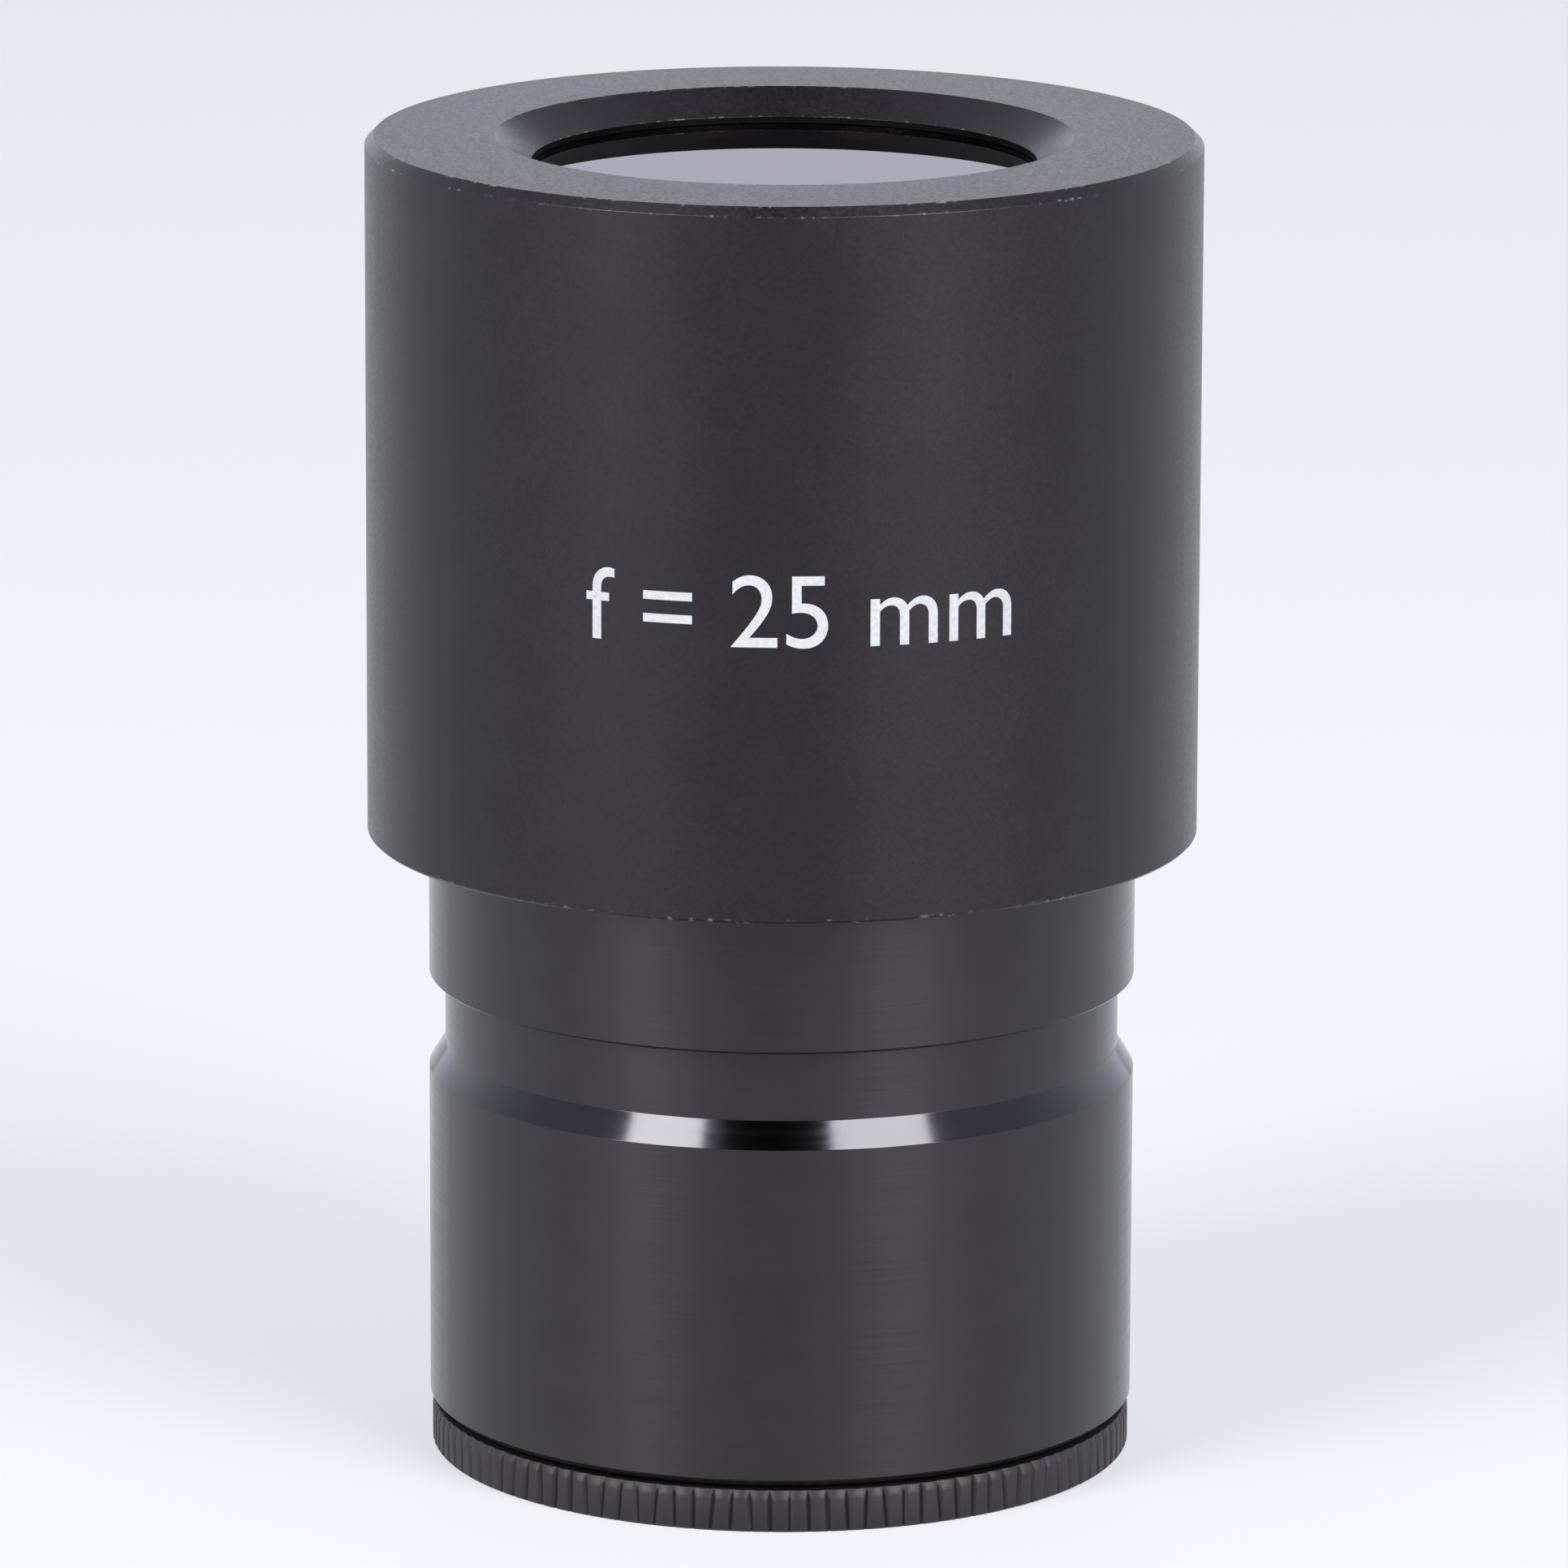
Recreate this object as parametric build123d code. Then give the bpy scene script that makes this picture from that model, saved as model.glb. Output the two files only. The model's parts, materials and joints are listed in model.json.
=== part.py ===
"""Wide-field 10x eyepiece for a 30 mm eyepiece tube, as the pieces it comes apart into.

Millimetres. The axis is Z. Z = 0 is the face of the knurled ring at the foot, and +Z points to
the eye. Light enters at the foot, forms its image at the field stop and leaves by the eye lens.
Threads are turned as rings of the right pitch on the male part, and their female parts are plain
bores at the major diameter, so that a screw motion stays free.
"""

import os
from math import cos, pi, radians, sin, sqrt

from build123d import *

# Outside: heights above the foot and radii
TOP_Z = 56.6
SHOULDER_Z = 26.8  # the housing's underside, which sits on the end of the microscope's tube
BARREL_FOOT_Z = 2.0
HOUSING_R = 17.6
BARREL_R = 15.0
TOP_EDGE_BREAK = 0.38
SMALL_EDGE_BREAK = 0.12
BARREL_FOOT_BREAK = 0.3

# Locking undercut round the barrel, with a cone on its foot side
UNDERCUT_R = 14.32
UNDERCUT_TOP_Z = 20.6
UNDERCUT_FLOOR_Z = 17.61
UNDERCUT_CONE_Z = 16.52

# Eye opening
COUNTERSINK_R = 12.14
EYE_OPENING_R = 10.6
COUNTERSINK_DEPTH = 1.07
EYE_LENS_DEPTH = 1.36  # from the top face to the glass

# Knurled flange of the reticle carrier
KNURL_R = 14.92
KNURL_RIDGES = 114
GROOVE_DEPTH = 0.16
GROOVE_SHARE = 0.4  # of the pitch that a groove takes up
FLANGE_HEIGHT = 1.8
FLANGE_BREAK = (0.1, 0.36)  # radial and axial
FLANGE_FOOT_BREAK = 0.12

# Optics: 25 mm focal length and 20 mm field number, with an index of 1.708 for the eye lens and
# the crowns and of 1.847 for the flints
FIELD_NUMBER = 20.0
IMAGE_DEPTH = 10.0  # of the intermediate image below the shoulder
LENS_R = 12.0
EYE_LENS = {"thickness": 5.07, "low_curve": 23.67, "high_curve": None}
MIDDLE_FLINT = {"thickness": 1.82, "low_curve": -19.83, "high_curve": -100.95}
MIDDLE_CROWN = {"thickness": 8.61, "low_curve": 61.74, "high_curve": -19.83}
FIELD_CROWN = {"thickness": 5.66, "low_curve": 20.88, "high_curve": -155.9}
FIELD_FLINT = {"thickness": 1.6, "low_curve": None, "high_curve": 20.88}
EYE_AIR_GAP = 0.4
DOUBLET_AIR_GAP = 0.5
CEMENT = 0.01  # film between the two glasses of a doublet, left empty

# Fits
SLIP = 0.03  # radial room of a piece in its bore
THREAD_ROOM = 0.04  # radial room of a thread's crest
CONTACT_GAP = 0.01  # between a ring's edge and the curved glass it holds

# Threads: major radius; all have the same pitch and depth
THREAD_PITCH = 0.5
THREAD_DEPTH = 0.3
NECK_THREAD_R = 14.5
CARRIER_THREAD_R = 13.75
RETAINER_THREAD_R = 12.25

# Lens cell and the barrel's neck that clamps it
CELL_R = 14.0
CELL_SPIGOT_R = 13.2
CELL_FOOT_Z = 28.6
NECK_TOP_Z = 32.8
SHIM_THICKNESS = 0.2
RING_BORE_R = 11.1  # of the rings between the lenses
RETAINER_HEIGHT = 2.2
RETAINER_LEAD = 0.15
SPANNER_SLOT = (1.4, 0.8)  # width and depth

# Housing's inside
POCKET_R = 15.9
POCKET_LOW_Z = 34.4
POCKET_HIGH_Z = 44.5

# Barrel's inside
CHAMBER_R = 11.8
SEAT_Z = 17.8  # the inner shoulder that stops the carrier
SPIGOT_BORE_Z = 28.2
CARRIER_BORE_R = 13.38
CARRIER_THREAD_TOP_Z = 7.0

# Reticle carrier
SLEEVE_R = 13.33
CARRIER_BORE = 11.9
STOP_SEAT_R = 12.55
STOP_THICKNESS = 0.9
SNAP_RING_WIRE = 0.5
SNAP_RING_GAP_DEGREES = 24
CARRIER_NECK_R = 13.3

# Stray-light grooves in the chamber and in the carrier's bore
BAFFLE_PITCH = 0.75
BAFFLE_DEPTH = 0.28

IMAGE_Z = SHOULDER_Z - IMAGE_DEPTH
GLASS_TOP_Z = TOP_Z - EYE_LENS_DEPTH


def turned(outline):
    """Solid of revolution from (radius, height) corners, or from edges in the XZ plane."""
    if isinstance(outline[0], tuple):
        outline = [Polyline(*[(r, 0, z) for r, z in outline], close=True)]
    return revolve(make_face(outline), Axis.Z)


def rings_outline(radius, low_z, high_z, pitch, depth):
    """Corners of V grooves, from low_z up to high_z. A positive depth cuts below the radius,
    as on a thread, and a negative one cuts above it, as in a bore."""
    count = int((high_z - low_z) / pitch)
    corners = []
    for turn in range(count):
        start = low_z + turn * pitch
        corners += [(radius, start + 0.1 * pitch), (radius - depth, start + 0.5 * pitch)]
        corners += [(radius, start + 0.9 * pitch)]
    return corners


def glass_height(vertex_z, curve, radius):
    """Height of a lens surface. A positive curve has its centre above the surface."""
    if curve is None:
        return vertex_z
    sag = abs(curve) - sqrt(curve**2 - radius**2)
    return vertex_z + (sag if curve > 0 else -sag)


def glass_edge(vertex_z, curve):
    """The half section of a lens surface, from the axis out to the rim."""
    points = [(r, 0, glass_height(vertex_z, curve, r)) for r in (0, LENS_R / 2, LENS_R)]
    return Line(points[0], points[2]) if curve is None else ThreePointArc(*points)


def lens(element, low_z):
    """One piece of glass, from its lower and upper surfaces."""
    low = glass_edge(low_z, element["low_curve"])
    high = glass_edge(low_z + element["thickness"], element["high_curve"])
    return turned([low, Line(low @ 1, high @ 1), high, Line(high @ 0, low @ 0)])


# Lens vertices, from the eye lens down
EYE_LENS_Z = GLASS_TOP_Z - EYE_LENS["thickness"]
MIDDLE_TOP_Z = EYE_LENS_Z - EYE_AIR_GAP
MIDDLE_FLINT_Z = MIDDLE_TOP_Z - MIDDLE_FLINT["thickness"]
MIDDLE_CROWN_Z = MIDDLE_FLINT_Z - CEMENT - MIDDLE_CROWN["thickness"]
FIELD_TOP_Z = MIDDLE_CROWN_Z - DOUBLET_AIR_GAP
FIELD_CROWN_Z = FIELD_TOP_Z - FIELD_CROWN["thickness"]
FIELD_FLINT_Z = FIELD_CROWN_Z - CEMENT - FIELD_FLINT["thickness"]


def housing():
    """Outer shell: the lip over the eye lens, a bore for the cell and a flange for the neck."""
    return turned([
        (NECK_THREAD_R + THREAD_ROOM, SHOULDER_Z),
        (HOUSING_R - SMALL_EDGE_BREAK, SHOULDER_Z),
        (HOUSING_R, SHOULDER_Z + SMALL_EDGE_BREAK),
        (HOUSING_R, TOP_Z - TOP_EDGE_BREAK),
        (HOUSING_R - TOP_EDGE_BREAK, TOP_Z),
        (COUNTERSINK_R, TOP_Z),
        (EYE_OPENING_R, TOP_Z - COUNTERSINK_DEPTH),
        (EYE_OPENING_R, GLASS_TOP_Z),
        (CELL_R + SLIP, GLASS_TOP_Z),
        (CELL_R + SLIP, POCKET_HIGH_Z + POCKET_R - CELL_R),
        (POCKET_R, POCKET_HIGH_Z),
        (POCKET_R, POCKET_LOW_Z),
        (NECK_THREAD_R + THREAD_ROOM, POCKET_LOW_Z + NECK_THREAD_R - POCKET_R),
    ])


def barrel():
    """The 30 mm push-in tube, with its undercut, its neck and the carrier's thread."""
    thread_bore = CARRIER_THREAD_R + THREAD_ROOM
    neck = rings_outline(NECK_THREAD_R, SHOULDER_Z + 0.5, NECK_TOP_Z, THREAD_PITCH, THREAD_DEPTH)
    return turned([
        (BARREL_R, UNDERCUT_CONE_Z),
        (BARREL_R, BARREL_FOOT_Z + BARREL_FOOT_BREAK),
        (BARREL_R - BARREL_FOOT_BREAK, BARREL_FOOT_Z),
        (thread_bore, BARREL_FOOT_Z),
        (thread_bore, CARRIER_THREAD_TOP_Z),
        (CARRIER_BORE_R, CARRIER_THREAD_TOP_Z + thread_bore - CARRIER_BORE_R),
        (CARRIER_BORE_R, SEAT_Z),
        (CHAMBER_R, SEAT_Z),
        *rings_outline(CHAMBER_R, SEAT_Z + 0.6, SPIGOT_BORE_Z - 0.5, BAFFLE_PITCH, -BAFFLE_DEPTH),
        (CHAMBER_R, SPIGOT_BORE_Z),
        (CELL_SPIGOT_R + SLIP, SPIGOT_BORE_Z),
        (CELL_SPIGOT_R + SLIP, NECK_TOP_Z),
        (NECK_THREAD_R - THREAD_DEPTH, NECK_TOP_Z),
        *reversed(neck),
        (NECK_THREAD_R - THREAD_DEPTH, SHOULDER_Z + 0.4),
        (NECK_THREAD_R - THREAD_DEPTH, SHOULDER_Z),
        (BARREL_R - SMALL_EDGE_BREAK, SHOULDER_Z),
        (BARREL_R, SHOULDER_Z - SMALL_EDGE_BREAK),
        (BARREL_R, UNDERCUT_TOP_Z + SMALL_EDGE_BREAK),
        (BARREL_R - SMALL_EDGE_BREAK, UNDERCUT_TOP_Z),
        (UNDERCUT_R, UNDERCUT_TOP_Z),
        (UNDERCUT_R, UNDERCUT_FLOOR_Z),
    ])


def lens_cell():
    """Tube that holds the lens stack. Its step is clamped between the neck and the lip."""
    mouth_r = RETAINER_THREAD_R + THREAD_ROOM
    step_z = NECK_TOP_Z + SHIM_THICKNESS
    return turned([
        (mouth_r, CELL_FOOT_Z),
        (CELL_SPIGOT_R, CELL_FOOT_Z),
        (CELL_SPIGOT_R, step_z),
        (CELL_R, step_z),
        (CELL_R, GLASS_TOP_Z - SMALL_EDGE_BREAK),
        (CELL_R - SMALL_EDGE_BREAK, GLASS_TOP_Z),
        (LENS_R + SLIP, GLASS_TOP_Z),
        (LENS_R + SLIP, FIELD_FLINT_Z - RETAINER_LEAD),
        (mouth_r, FIELD_FLINT_Z - RETAINER_LEAD),
    ])


def parfocal_shim():
    """Thin washer under the cell's step, which sets the image onto the field stop."""
    return turned([
        (CELL_SPIGOT_R + SLIP, NECK_TOP_Z),
        (NECK_THREAD_R - THREAD_DEPTH, NECK_TOP_Z),
        (NECK_THREAD_R - THREAD_DEPTH, NECK_TOP_Z + SHIM_THICKNESS),
        (CELL_SPIGOT_R + SLIP, NECK_TOP_Z + SHIM_THICKNESS),
    ])


def spacer(glass_below, curve_below, glass_above, curve_above):
    """Ring between two lenses, touching each along its bore's edge."""
    low = glass_height(glass_below, curve_below, RING_BORE_R) + CONTACT_GAP
    high = glass_height(glass_above, curve_above, RING_BORE_R) - CONTACT_GAP
    return turned([(RING_BORE_R, low), (LENS_R, low), (LENS_R, high), (RING_BORE_R, high)])


def lens_retaining_ring():
    """Threaded ring that closes the lens stack, with two slots for a spanner."""
    top = FIELD_FLINT_Z - CONTACT_GAP
    foot = top - RETAINER_HEIGHT
    thread = rings_outline(RETAINER_THREAD_R, foot, top - 0.2, THREAD_PITCH, THREAD_DEPTH)
    ring = turned([
        (RING_BORE_R, foot),
        (RETAINER_THREAD_R - THREAD_DEPTH, foot),
        *thread,
        (LENS_R, top - RETAINER_LEAD),
        (LENS_R - RETAINER_LEAD, top),
        (RING_BORE_R, top),
    ])
    slot_width, slot_depth = SPANNER_SLOT
    slot = Pos(0, 0, foot) * Box(3 * RETAINER_THREAD_R, slot_width, 2 * slot_depth)
    return ring - slot


def knurled_flange():
    """Straight knurl: broad flat ridges with narrow V grooves, broken at the top and the foot."""
    ridge_angle = 2 * pi / KNURL_RIDGES
    corners = []
    for n in range(KNURL_RIDGES):
        ridge_from = n + GROOVE_SHARE / 2
        ridge_to = n + 1 - GROOVE_SHARE / 2
        for radius, steps in ((KNURL_R - GROOVE_DEPTH, n), (KNURL_R, ridge_from), (KNURL_R, ridge_to)):
            corners.append((radius * cos(steps * ridge_angle), radius * sin(steps * ridge_angle)))
    break_radial, break_axial = FLANGE_BREAK
    blank = turned([
        (CARRIER_BORE, 0),
        (KNURL_R - FLANGE_FOOT_BREAK, 0),
        (KNURL_R, FLANGE_FOOT_BREAK),
        (KNURL_R, FLANGE_HEIGHT - break_axial),
        (KNURL_R - break_radial, FLANGE_HEIGHT),
        (CARRIER_BORE, FLANGE_HEIGHT),
    ])
    return extrude(make_face(Polyline(*corners, close=True)), FLANGE_HEIGHT) & blank


def reticle_carrier():
    """Knurled ring with its sleeve, which holds the field stop and would hold a reticle."""
    thread_foot_z = BARREL_FOOT_Z + 0.5
    thread = rings_outline(
        CARRIER_THREAD_R, thread_foot_z, CARRIER_THREAD_TOP_Z - 0.2, THREAD_PITCH, THREAD_DEPTH
    )
    stop_foot_z = IMAGE_Z - STOP_THICKNESS
    ring_groove_r = STOP_SEAT_R + SNAP_RING_WIRE / 2
    baffles = rings_outline(
        CARRIER_BORE, FLANGE_HEIGHT + 0.2, stop_foot_z - 0.6, BAFFLE_PITCH, -BAFFLE_DEPTH
    )
    sleeve = turned([
        (CARRIER_BORE, FLANGE_HEIGHT / 4),
        (CARRIER_NECK_R, FLANGE_HEIGHT / 4),
        (CARRIER_NECK_R, thread_foot_z),
        *thread,
        (SLEEVE_R, CARRIER_THREAD_TOP_Z),
        (SLEEVE_R, SEAT_Z - SMALL_EDGE_BREAK),
        (SLEEVE_R - SMALL_EDGE_BREAK, SEAT_Z),
        (STOP_SEAT_R, SEAT_Z),
        (STOP_SEAT_R, IMAGE_Z + SNAP_RING_WIRE),
        (ring_groove_r, IMAGE_Z + SNAP_RING_WIRE),
        (ring_groove_r, IMAGE_Z),
        (STOP_SEAT_R, IMAGE_Z),
        (STOP_SEAT_R, stop_foot_z),
        (CARRIER_BORE, stop_foot_z),
        *reversed(baffles),
    ])
    return knurled_flange() + sleeve


def field_stop():
    """Disc whose sharp 20 mm edge lies in the image plane."""
    foot_z = IMAGE_Z - STOP_THICKNESS
    aperture_r = FIELD_NUMBER / 2
    return turned([
        (aperture_r + 0.8, foot_z),
        (STOP_SEAT_R - SLIP, foot_z),
        (STOP_SEAT_R - SLIP, IMAGE_Z),
        (aperture_r, IMAGE_Z),
        (aperture_r, IMAGE_Z - 0.1),
    ])


def stop_snap_ring():
    """Split ring of square wire that keeps the field stop in its seat."""
    outer_r = STOP_SEAT_R + SNAP_RING_WIRE / 2 - SLIP
    low_z = IMAGE_Z + CONTACT_GAP
    high_z = IMAGE_Z + SNAP_RING_WIRE - CONTACT_GAP
    inner_r = outer_r - SNAP_RING_WIRE
    section = Polyline(
        (inner_r, 0, low_z), (outer_r, 0, low_z), (outer_r, 0, high_z), (inner_r, 0, high_z), close=True
    )
    return revolve(make_face(section), Axis.Z, 360 - SNAP_RING_GAP_DEGREES)


PIECES = {
    "housing": housing(),
    "barrel": barrel(),
    "lens_cell": lens_cell(),
    "parfocal_shim": parfocal_shim(),
    "eye_lens": lens(EYE_LENS, EYE_LENS_Z),
    "eye_lens_spacer": spacer(
        MIDDLE_TOP_Z, MIDDLE_FLINT["high_curve"], EYE_LENS_Z, EYE_LENS["low_curve"]
    ),
    "middle_flint_lens": lens(MIDDLE_FLINT, MIDDLE_FLINT_Z),
    "middle_crown_lens": lens(MIDDLE_CROWN, MIDDLE_CROWN_Z),
    "doublet_spacer": spacer(
        FIELD_TOP_Z, FIELD_CROWN["high_curve"], MIDDLE_CROWN_Z, MIDDLE_CROWN["low_curve"]
    ),
    "field_crown_lens": lens(FIELD_CROWN, FIELD_CROWN_Z),
    "field_flint_lens": lens(FIELD_FLINT, FIELD_FLINT_Z),
    "lens_retaining_ring": lens_retaining_ring(),
    "field_stop": field_stop(),
    "stop_snap_ring": stop_snap_ring(),
    "reticle_carrier": reticle_carrier(),
}

os.makedirs("parts", exist_ok=True)
for name, piece in PIECES.items():
    export_step(piece, f"parts/{name}.step")
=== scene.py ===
"""The look of a wide-field 10x eyepiece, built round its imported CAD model.

Metres, in the CAD's own frame: +Z runs up the optical axis from the foot to the eye, and the
marked front faces -Y. Every turned CAD piece is turned again from its own section, with finer
facets, broken edges and exact normals, so its size and place stay the CAD's.
"""

import json
import random
from collections import namedtuple
from itertools import takewhile
from math import asin, atan2, cos, hypot, pi, radians, sin, tan

import bmesh
import bpy
from mathutils import Matrix, Vector

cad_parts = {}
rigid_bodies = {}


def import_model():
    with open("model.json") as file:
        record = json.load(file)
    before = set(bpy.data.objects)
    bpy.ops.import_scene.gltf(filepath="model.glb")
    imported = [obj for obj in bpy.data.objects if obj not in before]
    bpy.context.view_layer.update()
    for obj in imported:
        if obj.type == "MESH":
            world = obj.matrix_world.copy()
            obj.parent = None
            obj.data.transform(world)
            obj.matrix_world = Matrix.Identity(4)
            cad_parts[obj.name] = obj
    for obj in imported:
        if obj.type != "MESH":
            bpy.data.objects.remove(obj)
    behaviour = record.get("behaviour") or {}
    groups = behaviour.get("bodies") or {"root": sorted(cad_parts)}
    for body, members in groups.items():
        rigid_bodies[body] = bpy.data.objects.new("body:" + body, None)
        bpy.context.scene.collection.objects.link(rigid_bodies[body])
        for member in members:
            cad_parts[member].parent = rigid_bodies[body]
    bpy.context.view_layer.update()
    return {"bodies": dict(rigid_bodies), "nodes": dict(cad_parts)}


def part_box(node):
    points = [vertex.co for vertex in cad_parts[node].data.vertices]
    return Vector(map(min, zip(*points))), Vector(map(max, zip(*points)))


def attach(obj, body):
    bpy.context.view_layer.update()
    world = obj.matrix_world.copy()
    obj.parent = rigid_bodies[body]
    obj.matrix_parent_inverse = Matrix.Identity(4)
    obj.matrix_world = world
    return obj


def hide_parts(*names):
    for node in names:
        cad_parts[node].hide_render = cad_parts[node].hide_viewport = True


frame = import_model()

MM = 0.001

# Reading the CAD
ON_SEAM = 1e-7  # how near the XZ plane a vertex lies on a turned piece's seam
ON_RIM = 1e-6  # how near a lens's rim or axis a vertex counts as on it
PLACE_DIGITS = 4  # of a millimetre, which tell two points of a section apart

# Turned surfaces
SEGMENTS = 240  # facets round the axis
EDGE_ROUND = 0.035 * MM
ROUND_STEPS = 4
ROUND_SHARE = 0.4  # of a short run that the rounding of its corner may take up
FINE_RUN = 0.6 * MM  # beside a shorter run, a corner is rounded in fewer steps
FINE_STEPS = 2
RUN_STEP = 1.5 * MM  # longest facet along a straight run
STRAIGHT_TURN = radians(0.1)  # a smaller turn in a section isn't a corner
SMOOTH_TURN = radians(20)  # a smaller turn belongs to a curve
WEAR_REACH = 0.07 * MM  # how far wear spreads from a broken edge
WEAR_RUN = 3 * WEAR_REACH  # a shorter run is worn all along

# Painted shade: the seat round the eye lens is a deeper, barely reflecting black, which stands in for the
# shade in that recess, this far above and below the lens's top face
SEAT_UP = 0.28 * MM
SEAT_DOWN = 1 * MM

# The barrel's outside, undercut and all, lies beyond this share of its radius
OUTSIDE_SHARE = 0.95

# Lenses
LENS_STEPS = 24
LENS_CHAMFER = 0.08 * MM

# Knurl on the reticle carrier's flange
KNURL_RIDGES = 114
KNURL_FACETS = 16  # round the axis, for each ridge
GROOVE_SHARE = 0.44  # of the pitch that a groove takes up
GROOVE_UNEVEN = 0.4  # how much narrower and shallower a groove may be, as a share
KNURL_SEED = 7
KNURL_CROWN = 0.02 * MM  # how much lower a ridge is beside its grooves
KNURL_UNEVEN = 0.02 * MM  # how much lower a whole ridge may be
KNURL_ARCH = 0.26 * MM  # how much further down a ridge's end begins beside its grooves
KNURL_SLANT = radians(0.7)  # how far a groove may turn round the axis on its way up
KNURL_SHARP = radians(50)  # a sharper angle between two facets is an edge
FLANGE_SEGMENTS = 2 * KNURL_RIDGES  # facets round the rest of the carrier
FLANGE_BREAK = (0.1 * MM, 0.36 * MM)  # radial and axial
FLANGE_BREAK_STEPS = 8
FLANGE_FOOT_BREAK = 0.12 * MM
FLANGE_FOOT_STEPS = 3

# Marking on the housing
MARK_TEXT = "f = 25 mm"
MARK_CAP_HEIGHT = 3.05 * MM
MARK_WIDTH = 18.2 * MM
MARK_Z = 39.9 * MM
MARK_TURN = radians(2.5)  # round the axis, towards +X
MARK_PROUD = 0.012 * MM  # how far the ink's face stands out, and its back lies in
MARK_SUNK = 0.01 * MM
MARK_SLICE = 0.25 * MM  # width of the slices that let it bend

# Camera
CAMERA_PLACE = Vector((0.076, -484.2, 140.35)) * MM
CAMERA_PITCH = radians(12.99)
CAMERA_ROLL = radians(0.2)
CAMERA_LENS = 268.8  # focal length and sensor width in millimetres
CAMERA_SENSOR = 36.0

# The violet of the dye, in reflections off the black surfaces
ANODISED_TINT = (0.98, 0.91, 1.0, 1)
POLISHED_TINT = (0.93, 0.91, 1.0, 1)

# Noise
NOISE_RANGE = (0.3, 0.7)  # holds nearly all values of a noise texture
SPECK_SIZE = 0.35 * MM
SPECK_RANGE = (0.55, 0.7)  # of the noise, from sound surface to bare metal
STRETCH_SIZE = 4 * MM  # of the stretches of an edge that are worn
STRETCH_RANGE = (0.41, 0.53)

# A Mix node's sockets for colours share their names with those for other types, so they are
# told by their numbers
MIX_LOW = 6
MIX_HIGH = 7
MIX_RESULT = 2

# Floor
FLOOR_RADIUS = 3.0
FLOOR_FACETS = 64
FLOOR_COLOUR = (0.18, 0.181, 0.183, 1)
FLOOR_GLOW = (0.93, 0.96, 1.0, 1)

# Softboxes. Azimuths are from the camera's side, towards +X.
SOFTBOX_DISTANCE = 0.9
SOFTBOX_AIM_Z = 17 * MM
SOFTBOX_ELEVATION = radians(35)
SOFTBOX_HALF_HEIGHT = radians(26)
SOFTBOX_LEFT = {"azimuth": radians(-46), "half_width": radians(12.5), "radiance": 15}
SOFTBOX_RIGHT = {"azimuth": radians(40), "half_width": radians(16.5), "radiance": 13}

# Room. Its levels are shares of its radiance, and its heights are sines of the elevation.
ROOM_RADIANCE = 1.3
ROOM_COLOUR = (0.91, 0.925, 1.06, 1)
DARK_RADIANCE = 0.01  # behind the camera
DARK_TO_LIT = (radians(22), radians(28))  # azimuths, to either side
SIDE_TO_BACK = (radians(140), radians(170))
BACK_HEIGHTS = (0.22, 0.34)
BACK_LEVELS = (1.17, 0.2)
CEILING_HEIGHTS = (0.25, 0.5)
CEILING_LEVEL = 0.6
ZENITH_HEIGHTS = (0.7, 0.95)
ZENITH_LEVEL = 0.6

Spot = namedtuple("Spot", "point normal edge")


# ---------------------------------------------------------------- turned meshes


def section(node):
    """Closed outline of a turned CAD node as (radius, height) points, read along its seam on the
    XZ plane. It runs anticlockwise, with the solid on its left."""
    mesh = frame["nodes"][node].data

    def place(index):
        co = mesh.vertices[index].co
        return round(co.x / MM, PLACE_DIGITS), round(co.z / MM, PLACE_DIGITS)

    seam = {v.index for v in mesh.vertices if abs(v.co.y) < ON_SEAM < v.co.x}
    neighbours = {}
    for edge in mesh.edges:
        a, b = edge.vertices
        if a in seam and b in seam and place(a) != place(b):
            neighbours.setdefault(place(a), set()).add(place(b))
            neighbours.setdefault(place(b), set()).add(place(a))
    path = [min(neighbours)]
    while True:
        onward = [p for p in sorted(neighbours[path[-1]]) if p not in path]
        if not onward:
            break
        path.append(onward[0])
    if sum(a[0] * b[1] - b[0] * a[1] for a, b in zip(path, path[1:] + path[:1])) < 0:
        path = path[:1] + path[:0:-1]
    points = [Vector(p) * MM for p in path]
    return [point for i, point in enumerate(points) if abs(turn_at(points, i)) > STRAIGHT_TURN]


def turn_at(points, i):
    """How far a closed outline turns at point i."""
    before = points[i] - points[i - 1]
    after = points[(i + 1) % len(points)] - points[i]
    return atan2(before.x * after.y - before.y * after.x, before.dot(after))


def outward(direction):
    """The outward normal of an outline that runs round its solid with the solid on its left."""
    return Vector((direction.y, -direction.x)).normalized()


def rounded(points):
    """Spots of the outline: its corners are rounded, its long straight runs are divided, and the
    points along its curves keep their places. Outer corners are marked as edges, which wear."""
    count = len(points)
    spots = []
    for i, corner in enumerate(points):
        before = corner - points[i - 1]
        after = points[(i + 1) % count] - corner
        turn = turn_at(points, i)
        if abs(turn) < SMOOTH_TURN:
            spots.append(Spot(corner, outward(before.normalized() + after.normalized()), 0))
        else:
            spots += rounded_corner(corner, before, after, turn)
    return divided(spots)


def rounded_corner(corner, before, after, turn):
    """Spots round one corner, which lies between two runs of the outline."""
    shortest = min(before.length, after.length)
    steps = ROUND_STEPS if shortest > FINE_RUN else FINE_STEPS
    half_turn = tan(abs(turn) / 2)
    reach = min(EDGE_ROUND * half_turn, ROUND_SHARE * shortest)
    first_normal = outward(before)
    side = reach / half_turn * (1 if turn > 0 else -1)
    centre = corner - before.normalized() * reach - first_normal * side
    edge = 1 if turn > 0 else 0
    normals = [Matrix.Rotation(turn * step / steps, 2) @ first_normal for step in range(steps + 1)]
    return [Spot(centre + normal * side, normal, edge) for normal in normals]


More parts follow.
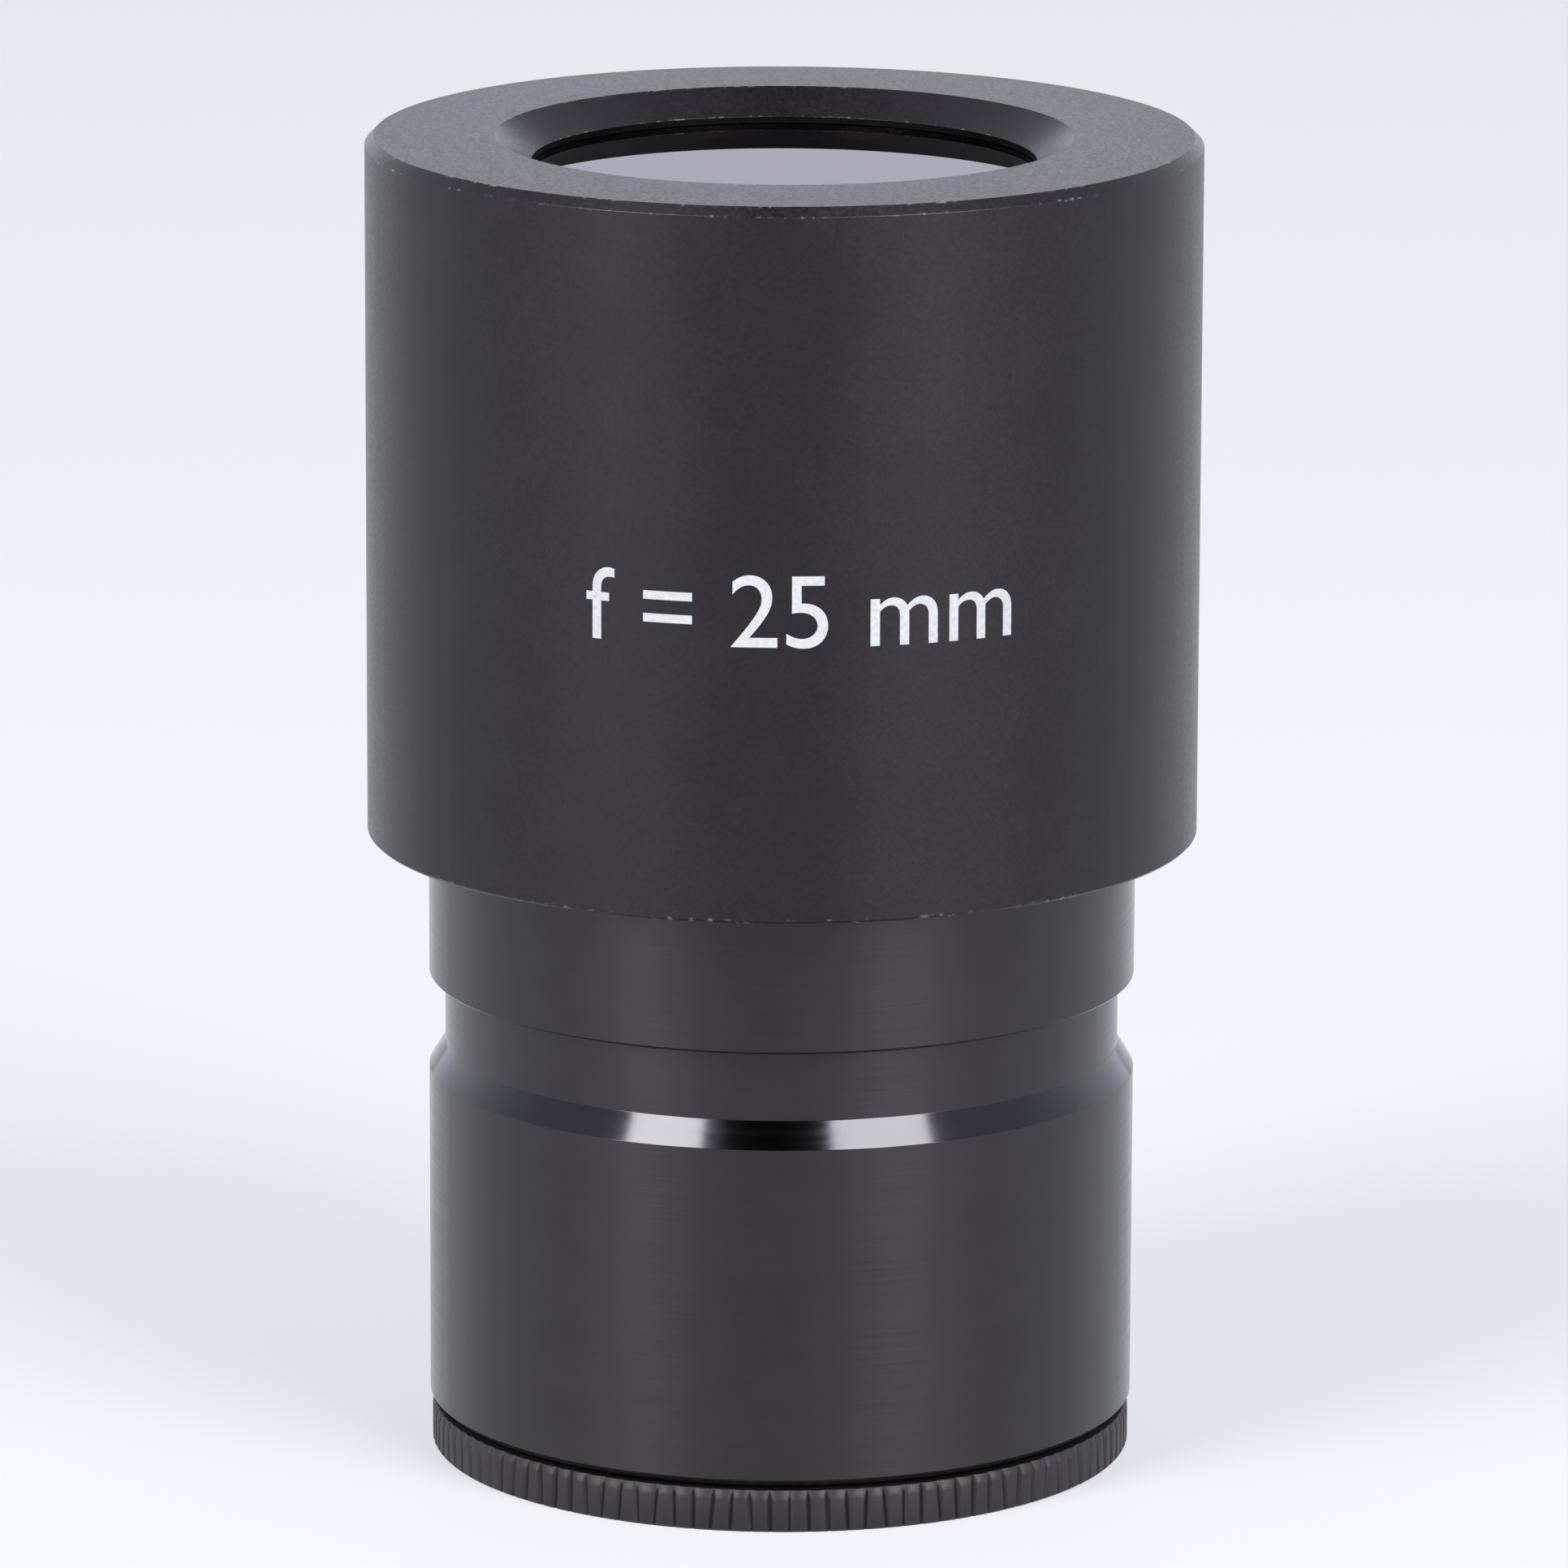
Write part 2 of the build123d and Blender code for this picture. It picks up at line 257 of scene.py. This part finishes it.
def divided(spots):
    """Adds spots along the straight runs, so that no facet is longer than RUN_STEP and the wear
    of an edge ends WEAR_REACH away from it."""
    done = []
    for spot, onward in zip(spots, spots[1:] + spots[:1]):
        length = (onward.point - spot.point).length
        pieces = int(length / RUN_STEP) + 1
        shares = {k / pieces for k in range(1, pieces)}
        if length > WEAR_RUN:
            shares |= {WEAR_REACH / length, 1 - WEAR_REACH / length}
        done.append(spot)
        for share in sorted(shares):
            normal = spot.normal.lerp(onward.normal, share).normalized()
            done.append(Spot(spot.point.lerp(onward.point, share), normal, 0))
    return done


def ring(radius_at, height, count):
    """Points of one ring. radius_at gives the radius for each step round the axis."""
    points = []
    for k in range(count):
        angle = 2 * pi * k / count
        radius = radius_at(k)
        points.append(Vector((radius * cos(angle), radius * sin(angle), height)))
    return points


def plain_rings(spots, count):
    """Rings of points through the spots of an outline."""
    return [ring(lambda k: spot.point.x, spot.point.y, count) for spot in spots]


def strip(numbers, few, k):
    """The vertices of a ring that lie along face k of few."""
    if len(numbers) == 1:
        return numbers
    share = len(numbers) // few
    return [numbers[(k * share + step) % len(numbers)] for step in range(share + 1)]


def stitch(low, high):
    """Faces between two rings of vertex numbers. One may have a whole factor more vertices than
    the other, or be a single vertex on the axis."""
    few = max(len(low), len(high)) if 1 in (len(low), len(high)) else min(len(low), len(high))
    return [[*strip(low, few, k), *reversed(strip(high, few, k))] for k in range(few)]


def skin(name, rings, closed):
    """Mesh object through rings of points. Where closed, the last ring joins the first."""
    numbers = []
    for points in rings:
        start = numbers[-1][-1] + 1 if numbers else 0
        numbers.append(list(range(start, start + len(points))))
    pairs = list(zip(numbers, numbers[1:] + numbers[:1]))
    faces = [face for low, high in (pairs if closed else pairs[:-1]) for face in stitch(low, high)]
    mesh = bpy.data.meshes.new(name)
    mesh.from_pydata([point for points in rings for point in points], [], faces)
    mesh.shade_smooth()
    piece = bpy.data.objects.new(name, mesh)
    bpy.context.scene.collection.objects.link(piece)
    return piece


def mark_edges(piece, edges):
    """Stores how worn each vertex may be, for the materials."""
    piece.data.attributes.new("edge", "FLOAT", "POINT").data.foreach_set("value", edges)


def lathe(name, spots, closed=True):
    """Turned mesh from the spots of an outline. One that isn't closed starts and ends on the axis."""
    rings = []
    normals = []
    edges = []
    for point, normal, edge in spots:
        count = SEGMENTS if point.x > 0 else 1
        rings.append(ring(lambda k: point.x, point.y, count))
        angles = [2 * pi * k / count for k in range(count)]
        normals += [(normal.x * cos(a), normal.x * sin(a), normal.y) for a in angles]
        edges += [edge] * count
    piece = skin(name, rings, closed)
    piece.data.normals_split_custom_set_from_vertices(normals)
    mark_edges(piece, edges)
    return piece


def dress(piece, *materials):
    """Gives a piece its materials, in the order of its material slots."""
    piece.data.materials.clear()
    for material in materials:
        piece.data.materials.append(material)
    return piece


def paint(piece, index, chosen):
    """Gives the faces that chosen(radius, height) picks the material of that slot."""
    for face in piece.data.polygons:
        if chosen(hypot(face.center.x, face.center.y), face.center.z):
            face.material_index = index


def stands_for(piece, node, body):
    """Ties a piece to the body it moves with, and hides the CAD node that it replaces."""
    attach(piece, body)
    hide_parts(node)


def turned(node, kind, body, material):
    """A plain turned piece in one material."""
    piece = lathe(f"{node}_{kind}", rounded(section(node)))
    stands_for(dress(piece, material), node, body)


# ---------------------------------------------------------------- materials


def shader(name, settings):
    """A new material with constant socket values."""
    material = bpy.data.materials.new(name)
    material.use_nodes = True
    for socket, value in settings.items():
        material.node_tree.nodes["Principled BSDF"].inputs[socket].default_value = value
    return material


def add(tree, kind, inputs=None, **settings):
    """A new node. Its inputs are values, or other nodes' outputs to link."""
    node = tree.nodes.new(kind)
    for name, value in settings.items():
        setattr(node, name, value)
    for socket, value in (inputs or {}).items():
        if isinstance(value, bpy.types.NodeSocket):
            tree.links.new(value, node.inputs[socket])
        else:
            node.inputs[socket].default_value = value
    return node


def maths(tree, operation, *values):
    return add(tree, "ShaderNodeMath", dict(enumerate(values)), operation=operation).outputs[0]


def grain(tree, size, stretch=(1, 1, 1), detail=2.0):
    """Noise whose features are about size across, in the object's own coordinates."""
    place = add(tree, "ShaderNodeTexCoord").outputs["Object"]
    scaled = add(tree, "ShaderNodeVectorMath", {0: place, 1: stretch}, operation="MULTIPLY")
    settings = {"Vector": scaled.outputs[0], "Scale": 1 / size, "Detail": detail}
    return add(tree, "ShaderNodeTexNoise", settings).outputs["Fac"]


def remap(tree, value, from_range, low, high):
    """The value, carried over from a range to another, which it doesn't leave."""
    limits = {"From Min": from_range[0], "From Max": from_range[1], "To Min": low, "To Max": high}
    return add(tree, "ShaderNodeMapRange", {"Value": value, **limits}).outputs["Result"]


def blend_colour(tree, factor, low, high):
    """A mixture of two colours, each red, green and blue, or another node's output."""
    ends = [end if isinstance(end, bpy.types.NodeSocket) else (*end, 1) for end in (low, high)]
    inputs = {"Factor": factor, MIX_LOW: ends[0], MIX_HIGH: ends[1]}
    return add(tree, "ShaderNodeMix", inputs, data_type="RGBA").outputs[MIX_RESULT]


def bump(tree, height, depth, strength=1.0):
    settings = {"Height": height, "Distance": depth, "Strength": strength}
    return add(tree, "ShaderNodeBump", settings).outputs["Normal"]


def worn(tree, colour, bare):
    """The colour, with specks of a lighter one scattered along the broken edges."""
    edge = add(tree, "ShaderNodeAttribute", attribute_name="edge").outputs["Fac"]
    specks = remap(tree, grain(tree, SPECK_SIZE), SPECK_RANGE, 0, 1)
    stretches = remap(tree, grain(tree, STRETCH_SIZE), STRETCH_RANGE, 0, 1)
    wear = maths(tree, "MULTIPLY", edge, maths(tree, "MULTIPLY", specks, stretches))
    return blend_colour(tree, wear, colour, bare)


def connect(material, sockets):
    """Links nodes' outputs to the material's sockets, and returns the material."""
    tree = material.node_tree
    for socket, output in sockets.items():
        tree.links.new(output, tree.nodes["Principled BSDF"].inputs[socket])
    return material


def blasted_anodised():
    """Bead-blasted and black anodised: an even matt black with the fine speckle of the beads."""
    material = shader("blasted_anodised", {"IOR": 1.4, "Specular Tint": ANODISED_TINT})
    tree = material.node_tree
    speckle = grain(tree, 0.16 * MM)
    cloud = grain(tree, 3 * MM)
    tone = remap(tree, maths(tree, "MULTIPLY", speckle, cloud), (0.15, 0.38), 0, 1)
    colour = blend_colour(tree, tone, (0.0016, 0.0013, 0.0018), (0.0036, 0.0032, 0.004))
    return connect(material, {
        "Base Color": worn(tree, colour, (0.09, 0.09, 0.095)),
        "Roughness": remap(tree, speckle, NOISE_RANGE, 0.28, 0.37),
        "Normal": bump(tree, speckle, 0.012 * MM, strength=0.2),
    })


def turned_anodised(name, roughness, depth, anisotropy=0.0):
    """Finely turned and black anodised: tool marks of that depth run round the axis, and where
    there is anisotropy, they spread the light up and down."""
    material = shader(name, {
        "IOR": 1.5,
        "Specular Tint": ANODISED_TINT,
        "Anisotropic": anisotropy,
        "Anisotropic Rotation": 0.25,
    })
    tree = material.node_tree
    marks = grain(tree, 1.0 * MM, stretch=(0.15, 0.15, 14), detail=3)
    cloud = remap(tree, grain(tree, 2 * MM), NOISE_RANGE, 0, 1)
    return connect(material, {
        "Base Color": blend_colour(tree, cloud, (0.0016, 0.0014, 0.0018), (0.0028, 0.0026, 0.003)),
        "Roughness": remap(tree, marks, NOISE_RANGE, roughness - 0.04, roughness + 0.04),
        "Normal": bump(tree, marks, depth),
        "Tangent": add(tree, "ShaderNodeTangent", direction_type="RADIAL", axis="Z").outputs[0],
    })


def polished_anodised():
    """Polished and black anodised: mirror-like, with a few fine lines round the axis."""
    material = shader("polished_anodised", {"IOR": 1.54, "Specular Tint": POLISHED_TINT})
    tree = material.node_tree
    lines = grain(tree, 1.0 * MM, stretch=(0.05, 0.05, 3.4), detail=1)
    return connect(material, {
        "Base Color": blend_colour(tree, lines, (0.0002, 0.0002, 0.0002), (0.0004, 0.0004, 0.0004)),
        "Roughness": remap(tree, lines, NOISE_RANGE, 0.1, 0.13),
        "Normal": bump(tree, lines, 0.002 * MM),
    })


def matt_black(name, level, roughness, ior=1.4):
    """Dull black against stray light, with a little grain. The near-black seat round the eye lens made
    with it is painted shade.
    """
    material = shader(name, {"IOR": ior})
    tree = material.node_tree
    speckle = grain(tree, 0.12 * MM)
    tone = remap(tree, speckle, NOISE_RANGE, 0, 1)
    return connect(material, {
        "Base Color": blend_colour(tree, tone, (0.5 * level,) * 3, (level,) * 3),
        "Roughness": remap(tree, speckle, NOISE_RANGE, roughness - 0.06, roughness + 0.06),
        "Normal": bump(tree, speckle, 0.006 * MM, strength=0.3),
    })


def rolled_metal(name, dark, light, roughness):
    """Bare metal sheet or wire, a little uneven in tone."""
    material = shader(name, {"Metallic": 1.0})
    tree = material.node_tree
    streaks = grain(tree, 0.5 * MM, stretch=(1, 0.15, 1), detail=4)
    tone = remap(tree, streaks, NOISE_RANGE, 0, 1)
    return connect(material, {
        "Base Color": blend_colour(tree, tone, dark, light),
        "Roughness": remap(tree, streaks, NOISE_RANGE, roughness - 0.08, roughness + 0.08),
        "Normal": bump(tree, streaks, 0.002 * MM),
    })


def coated_glass():
    """Polished glass under an anti-reflection coating, which leaves a weak bluish reflection. Its nearly
    black colour is painted shade, which keeps the view into the lens stack dark.
    """
    return shader("coated_glass", {
        # painted shade: the glass is tinted almost black, so the stack looks dark inside and shows no
        # reflections between its glasses
        "Base Color": (0.015, 0.013, 0.025, 1),
        "Roughness": 0.0,
        "IOR": 1.75,
        "Specular Tint": (0.8, 0.87, 1.0, 1),
        "Transmission Weight": 1.0,
        "Thin Film Thickness": 115.0,
        "Thin Film IOR": 1.38,
    })


def white_ink():
    """Screen-printed white, slightly uneven."""
    material = shader("white_ink", {"Roughness": 0.55})
    tree = material.node_tree
    uneven = grain(tree, 0.2 * MM)
    tone = remap(tree, uneven, NOISE_RANGE, 0, 1)
    return connect(material, {
        "Base Color": blend_colour(tree, tone, (0.26, 0.265, 0.28), (0.32, 0.325, 0.34)),
        "Normal": bump(tree, uneven, 0.01 * MM, strength=0.3),
    })


def floor_paper():
    """Pale and translucent, lit from below."""
    return shader("floor_paper", {
        "Base Color": FLOOR_COLOUR,
        "Roughness": 0.68,
        "Emission Color": FLOOR_GLOW,
        "Emission Strength": 0.52,
    })


def seat_painted_shade():
    # painted shade: near black and barely reflecting, for the shade in the recess round the eye lens
    return matt_black("seat_painted_shade", level=0.002, roughness=0.6, ior=1.12)


def inner_black():
    return matt_black("inner_anodised", level=0.01, roughness=0.5)


def rim_black():
    """The paint on a glass's ground edge."""
    return matt_black("rim_black", level=0.004, roughness=0.6)


def stop_black():
    return matt_black("stop_black", level=0.006, roughness=0.75)


def barrel_satin():
    return turned_anodised("turned_anodised", roughness=0.23, depth=0.0004 * MM, anisotropy=0.7)


def knurl_satin():
    return turned_anodised("knurl_anodised", roughness=0.52, depth=0.001 * MM)


def shim_brass():
    return rolled_metal("shim_brass", dark=(0.55, 0.4, 0.18), light=(0.75, 0.58, 0.3), roughness=0.35)


def spring_steel():
    return rolled_metal("spring_steel", dark=(0.05, 0.05, 0.055), light=(0.11, 0.11, 0.12), roughness=0.35)


# ---------------------------------------------------------------- pieces


def housing(black, seat):
    """The outer shell, with a deeper black on the seat round the eye lens, which is painted shade for the
    recess there.
    """
    piece = lathe("housing_shell", rounded(section("housing")))
    dress(piece, black, seat)
    lens_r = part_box("eye_lens")[1].x
    lens_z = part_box("eye_lens")[1].z
    # painted shade on the seat round the eye lens
    paint(piece, 1, lambda r, z: r < lens_r and lens_z - SEAT_DOWN < z < lens_z + SEAT_UP)
    stands_for(piece, "housing", "body")


def barrel(satin, polished):
    """The barrel, whose undercut has a polished cone, the longest slope round its outside."""
    outline = section("barrel")
    piece = lathe("barrel_tube", rounded(outline))
    dress(piece, satin, polished)
    outer_r = max(point.x for point in outline)
    outside = [pair for pair in zip(outline, outline[1:]) if pair[1].x > OUTSIDE_SHARE * outer_r]
    slopes = [pair for pair in outside if pair[0].x > pair[1].x and pair[0].y < pair[1].y]
    low, high = max(slopes, key=lambda pair: (pair[1] - pair[0]).length)
    paint(piece, 1, lambda r, z: high.x < r < low.x and low.y < z < high.y)
    stands_for(piece, "barrel", "body")


def knurled_carrier(black):
    """The carrier with its flange's straight knurl, each ridge and groove a little different."""
    outline = section("reticle_carrier")
    root_r = max(point.x for point in outline)
    flange_z = max(point.y for point in outline if point.x == root_r)
    crest_r = max(hypot(v.co.x, v.co.y) for v in frame["nodes"]["reticle_carrier"].data.vertices)
    spots = rounded(outline)
    inner_r = root_r - 2 * EDGE_ROUND
    foot = list(takewhile(lambda spot: spot.point.x < inner_r, spots))
    rest = [spot for spot in spots[len(foot):] if spot.point.x < inner_r]
    rings = plain_rings(foot, FLANGE_SEGMENTS)
    rings += knurl(root_r, crest_r, flange_z)
    rings += plain_rings(rest, FLANGE_SEGMENTS)
    piece = skin("reticle_carrier_ring", rings, closed=True)
    piece.data.set_sharp_from_angle(angle=KNURL_SHARP)
    dress(piece, black)
    stands_for(piece, "reticle_carrier", "carrier")


def knurl(root_r, crest_r, flange_z):
    """Rings of points up the flange's outside, from its foot to its top edge."""
    draw = random.Random(KNURL_SEED)
    lower = [draw.uniform(0, KNURL_UNEVEN) for ridge in range(KNURL_RIDGES)]
    grooves = [draw.uniform(1 - GROOVE_UNEVEN, 1) for ridge in range(KNURL_RIDGES)]
    slants = [draw.uniform(-KNURL_SLANT, KNURL_SLANT) for ridge in range(KNURL_RIDGES)]
    break_radial, break_axial = FLANGE_BREAK
    plain_z = flange_z - break_axial

    def radius(step, height):
        ridge, facet = divmod(step, KNURL_FACETS)
        along = facet / KNURL_FACETS
        groove = grooves[ridge if along < 0.5 else (ridge + 1) % KNURL_RIDGES]
        from_groove = min(along, 1 - along)
        from_middle = 1 - 2 * from_groove
        cut = (crest_r - root_r) * groove * max(0, 1 - 2 * from_groove / (GROOVE_SHARE * groove))
        ridge_cut = cut + lower[ridge] + KNURL_CROWN * from_middle**2
        foot_cut = FLANGE_FOOT_BREAK - height
        arch = KNURL_ARCH * from_middle**2
        top_cut = (height - plain_z + arch) * break_radial / break_axial
        return crest_r - max(ridge_cut, foot_cut, top_cut)

    def slanted(step, point):
        """The point, turned with the slants of the two grooves beside it."""
        ridge, facet = divmod(step, KNURL_FACETS)
        along = facet / KNURL_FACETS
        slant = slants[ridge] * (1 - along) + slants[(ridge + 1) % KNURL_RIDGES] * along
        return Matrix.Rotation(slant * (point.z / flange_z - 0.5), 3, "Z") @ point

    foot_step = FLANGE_FOOT_BREAK / FLANGE_FOOT_STEPS
    heights = [foot_step * k for k in range(FLANGE_FOOT_STEPS + 1)]
    break_step = (break_axial + KNURL_ARCH) / FLANGE_BREAK_STEPS
    heights += [flange_z - break_step * k for k in range(FLANGE_BREAK_STEPS, -1, -1)]
    rings = []
    for height in heights:
        points = ring(lambda step: radius(step, height), height, KNURL_RIDGES * KNURL_FACETS)
        rings.append([slanted(step, point) for step, point in enumerate(points)])
    return rings


def lens_surface(vertex_z, rim_z, rim_r):
    """Spots up a lens surface from the axis to its chamfer, with the normals up."""
    sag = rim_z - vertex_z
    curvature = 2 * sag / (rim_r**2 + sag**2)
    spots = []
    for k in range(LENS_STEPS + 1):
        r = (rim_r - LENS_CHAMFER) * k / LENS_STEPS
        slope = asin(r * curvature)
        z = vertex_z + r * tan(slope / 2)
        spots.append(Spot(Vector((r, z)), Vector((-sin(slope), cos(slope))), 0))
    return spots


def lens(node, glass, edge_black, flat=None):
    """One glass of the stack. flat names its flat side, if it has one."""
    vertices = [v.co for v in frame["nodes"][node].data.vertices]
    rim_r = max(hypot(co.x, co.y) for co in vertices)
    rim_z = [co.z for co in vertices if hypot(co.x, co.y) > rim_r - ON_RIM]
    axis_z = [co.z for co in vertices if hypot(co.x, co.y) < ON_RIM]
    low_z = min(rim_z) if flat == "low" else min(axis_z)
    high_z = max(rim_z) if flat == "high" else max(axis_z)
    low = lens_surface(low_z, min(rim_z), rim_r)
    high = lens_surface(high_z, max(rim_z), rim_r)
    spots = [Spot(spot.point, -spot.normal, 0) for spot in low]
    spots.append(Spot(Vector((rim_r, min(rim_z) + LENS_CHAMFER)), Vector((1, 0)), 0))
    spots.append(Spot(Vector((rim_r, max(rim_z) - LENS_CHAMFER)), Vector((1, 0)), 0))
    spots += reversed(high)
    piece = lathe(f"{node}_glass", spots, closed=False)
    dress(piece, glass, edge_black)
    paint(piece, 1, lambda r, z: r > rim_r - LENS_CHAMFER)
    stands_for(piece, node, "body")


def lens_stack(glass, edge_black):
    """The five glasses, from the eye down."""
    lens("eye_lens", glass, edge_black, flat="high")
    lens("middle_flint_lens", glass, edge_black)
    lens("middle_crown_lens", glass, edge_black)
    lens("field_crown_lens", glass, edge_black)
    lens("field_flint_lens", glass, edge_black, flat="low")


def inner_pieces(black):
    """The lens cell, its rings, the parfocal shim, the field stop and its snap ring."""
    for node in ("lens_cell", "eye_lens_spacer", "doublet_spacer"):
        turned(node, "turned", "body", black)
    turned("parfocal_shim", "washer", "body", shim_brass())
    turned("field_stop", "disc", "field_stop", stop_black())
    dress(frame["nodes"]["lens_retaining_ring"], black)
    dress(frame["nodes"]["stop_snap_ring"], spring_steel())


def marking(ink):
    """The focal length, printed round the front of the housing."""
    words = bpy.data.curves.new("marking", "FONT")
    words.body = MARK_TEXT
    flat = bpy.data.objects.new("marking_flat", words)
    bpy.context.scene.collection.objects.link(flat)
    bpy.context.view_layer.update()
    mesh = bpy.data.meshes.new_from_object(flat.evaluated_get(bpy.context.evaluated_depsgraph_get()))
    bpy.data.objects.remove(flat)
    lowest = Vector(min(v.co[i] for v in mesh.vertices) for i in range(3))
    highest = Vector(max(v.co[i] for v in mesh.vertices) for i in range(3))
    across = MARK_WIDTH / (highest.x - lowest.x)
    up = MARK_CAP_HEIGHT / (highest.y - lowest.y)
    for vertex in mesh.vertices:
        vertex.co.x = (vertex.co.x - lowest.x) * across - MARK_WIDTH / 2
        vertex.co.y = (vertex.co.y - lowest.y) * up + MARK_Z - MARK_CAP_HEIGHT / 2
    wrap(mesh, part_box("housing")[1].x)
    piece = bpy.data.objects.new("marking", mesh)
    bpy.context.scene.collection.objects.link(piece)
    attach(dress(piece, ink), "body")


def wrap(mesh, radius):
    """Bends flat lettering round the housing's front and gives it the ink's thickness."""
    letters = bmesh.new()
    letters.from_mesh(mesh)
    for k in range(1, int(MARK_WIDTH / MARK_SLICE)):
        cut = (k * MARK_SLICE - MARK_WIDTH / 2, 0, 0)
        parts = [*letters.verts, *letters.edges, *letters.faces]
        bmesh.ops.bisect_plane(letters, geom=parts, plane_co=cut, plane_no=(1, 0, 0))
    flat = list(letters.faces)
    raised = bmesh.ops.extrude_face_region(letters, geom=flat, use_keep_orig=True)
    top = {v for v in raised["geom"] if isinstance(v, bmesh.types.BMVert)}
    for vertex in letters.verts:
        angle = MARK_TURN + vertex.co.x / radius
        out = radius + (MARK_PROUD if vertex in top else -MARK_SUNK)
        vertex.co = (out * sin(angle), -out * cos(angle), vertex.co.y)
    bmesh.ops.recalc_face_normals(letters, faces=letters.faces)
    letters.to_mesh(mesh)
    letters.free()


# ---------------------------------------------------------------- studio


def studio_floor(paper):
    """The table, which stays under the foot at every pose."""
    mesh = bpy.data.meshes.new("floor")
    mesh.from_pydata(ring(lambda k: FLOOR_RADIUS, 0, FLOOR_FACETS), [], [list(range(FLOOR_FACETS))])
    floor = bpy.data.objects.new("floor", mesh)
    bpy.context.scene.collection.objects.link(floor)
    dress(floor, paper)
    floor.parent = frame["bodies"]["carrier"]


def softbox(name, azimuth, half_width, radiance):
    """Area light that faces the object."""
    light = bpy.data.lights.new(name, "AREA")
    light.shape = "RECTANGLE"
    light.size = 2 * SOFTBOX_DISTANCE * tan(half_width) * cos(SOFTBOX_ELEVATION)
    light.size_y = 2 * SOFTBOX_DISTANCE * tan(SOFTBOX_HALF_HEIGHT)
    light.energy = radiance * light.size * light.size_y * pi
    lamp = bpy.data.objects.new(name, light)
    level = cos(SOFTBOX_ELEVATION)
    direction = Vector((sin(azimuth) * level, -cos(azimuth) * level, sin(SOFTBOX_ELEVATION)))
    lamp.location = direction * SOFTBOX_DISTANCE + Vector((0, 0, SOFTBOX_AIM_Z))
    lamp.rotation_euler = direction.to_track_quat("Z", "Y").to_euler()
    bpy.context.scene.collection.objects.link(lamp)


def studio_world():
    """A pale room: dark behind the camera, dim high up and overhead, and on the wall behind the
    object bright near the horizon and dark above."""
    world = bpy.data.worlds.new("studio")
    world.use_nodes = True
    tree = world.node_tree
    way = add(tree, "ShaderNodeTexCoord").outputs["Generated"]
    x, y, z = add(tree, "ShaderNodeSeparateXYZ", {0: way}).outputs
    azimuth = maths(tree, "ARCTAN2", x, maths(tree, "MULTIPLY", y, -1.0))
    aside = maths(tree, "ABSOLUTE", azimuth)
    walls = remap(tree, aside, DARK_TO_LIT, DARK_RADIANCE, ROOM_RADIANCE)
    back = remap(tree, aside, SIDE_TO_BACK, 0, 1)
    back_wall = remap(tree, z, BACK_HEIGHTS, *BACK_LEVELS)
    backed = maths(tree, "MULTIPLY_ADD", back, maths(tree, "SUBTRACT", back_wall, 1.0), 1.0)
    high = remap(tree, z, CEILING_HEIGHTS, 1.0, CEILING_LEVEL)
    zenith = remap(tree, z, ZENITH_HEIGHTS, 1.0, ZENITH_LEVEL)
    overhead = maths(tree, "MULTIPLY", high, zenith)
    level = maths(tree, "MULTIPLY", maths(tree, "MULTIPLY", walls, backed), overhead)
    background = tree.nodes["Background"]
    background.inputs["Color"].default_value = ROOM_COLOUR
    tree.links.new(level, background.inputs["Strength"])
    bpy.context.scene.world = world


def camera():
    """In front, a little above and far away, with a long lens."""
    view = bpy.data.cameras.new("camera")
    view.sensor_width = CAMERA_SENSOR
    view.lens = CAMERA_LENS
    view.clip_start = 0.01
    made = bpy.data.objects.new("camera", view)
    down = Matrix.Rotation(pi / 2 - CAMERA_PITCH, 4, "X")
    made.matrix_world = Matrix.Translation(CAMERA_PLACE) @ down @ Matrix.Rotation(CAMERA_ROLL, 4, "Z")
    bpy.context.scene.collection.objects.link(made)
    bpy.context.scene.camera = made


camera()
housing(blasted_anodised(), seat_painted_shade())
barrel(barrel_satin(), polished_anodised())
knurled_carrier(knurl_satin())
inner_pieces(inner_black())
lens_stack(coated_glass(), rim_black())
marking(white_ink())
studio_floor(floor_paper())
softbox("softbox_left", **SOFTBOX_LEFT)
softbox("softbox_right", **SOFTBOX_RIGHT)
studio_world()
bpy.context.scene.view_settings.view_transform = "Standard"
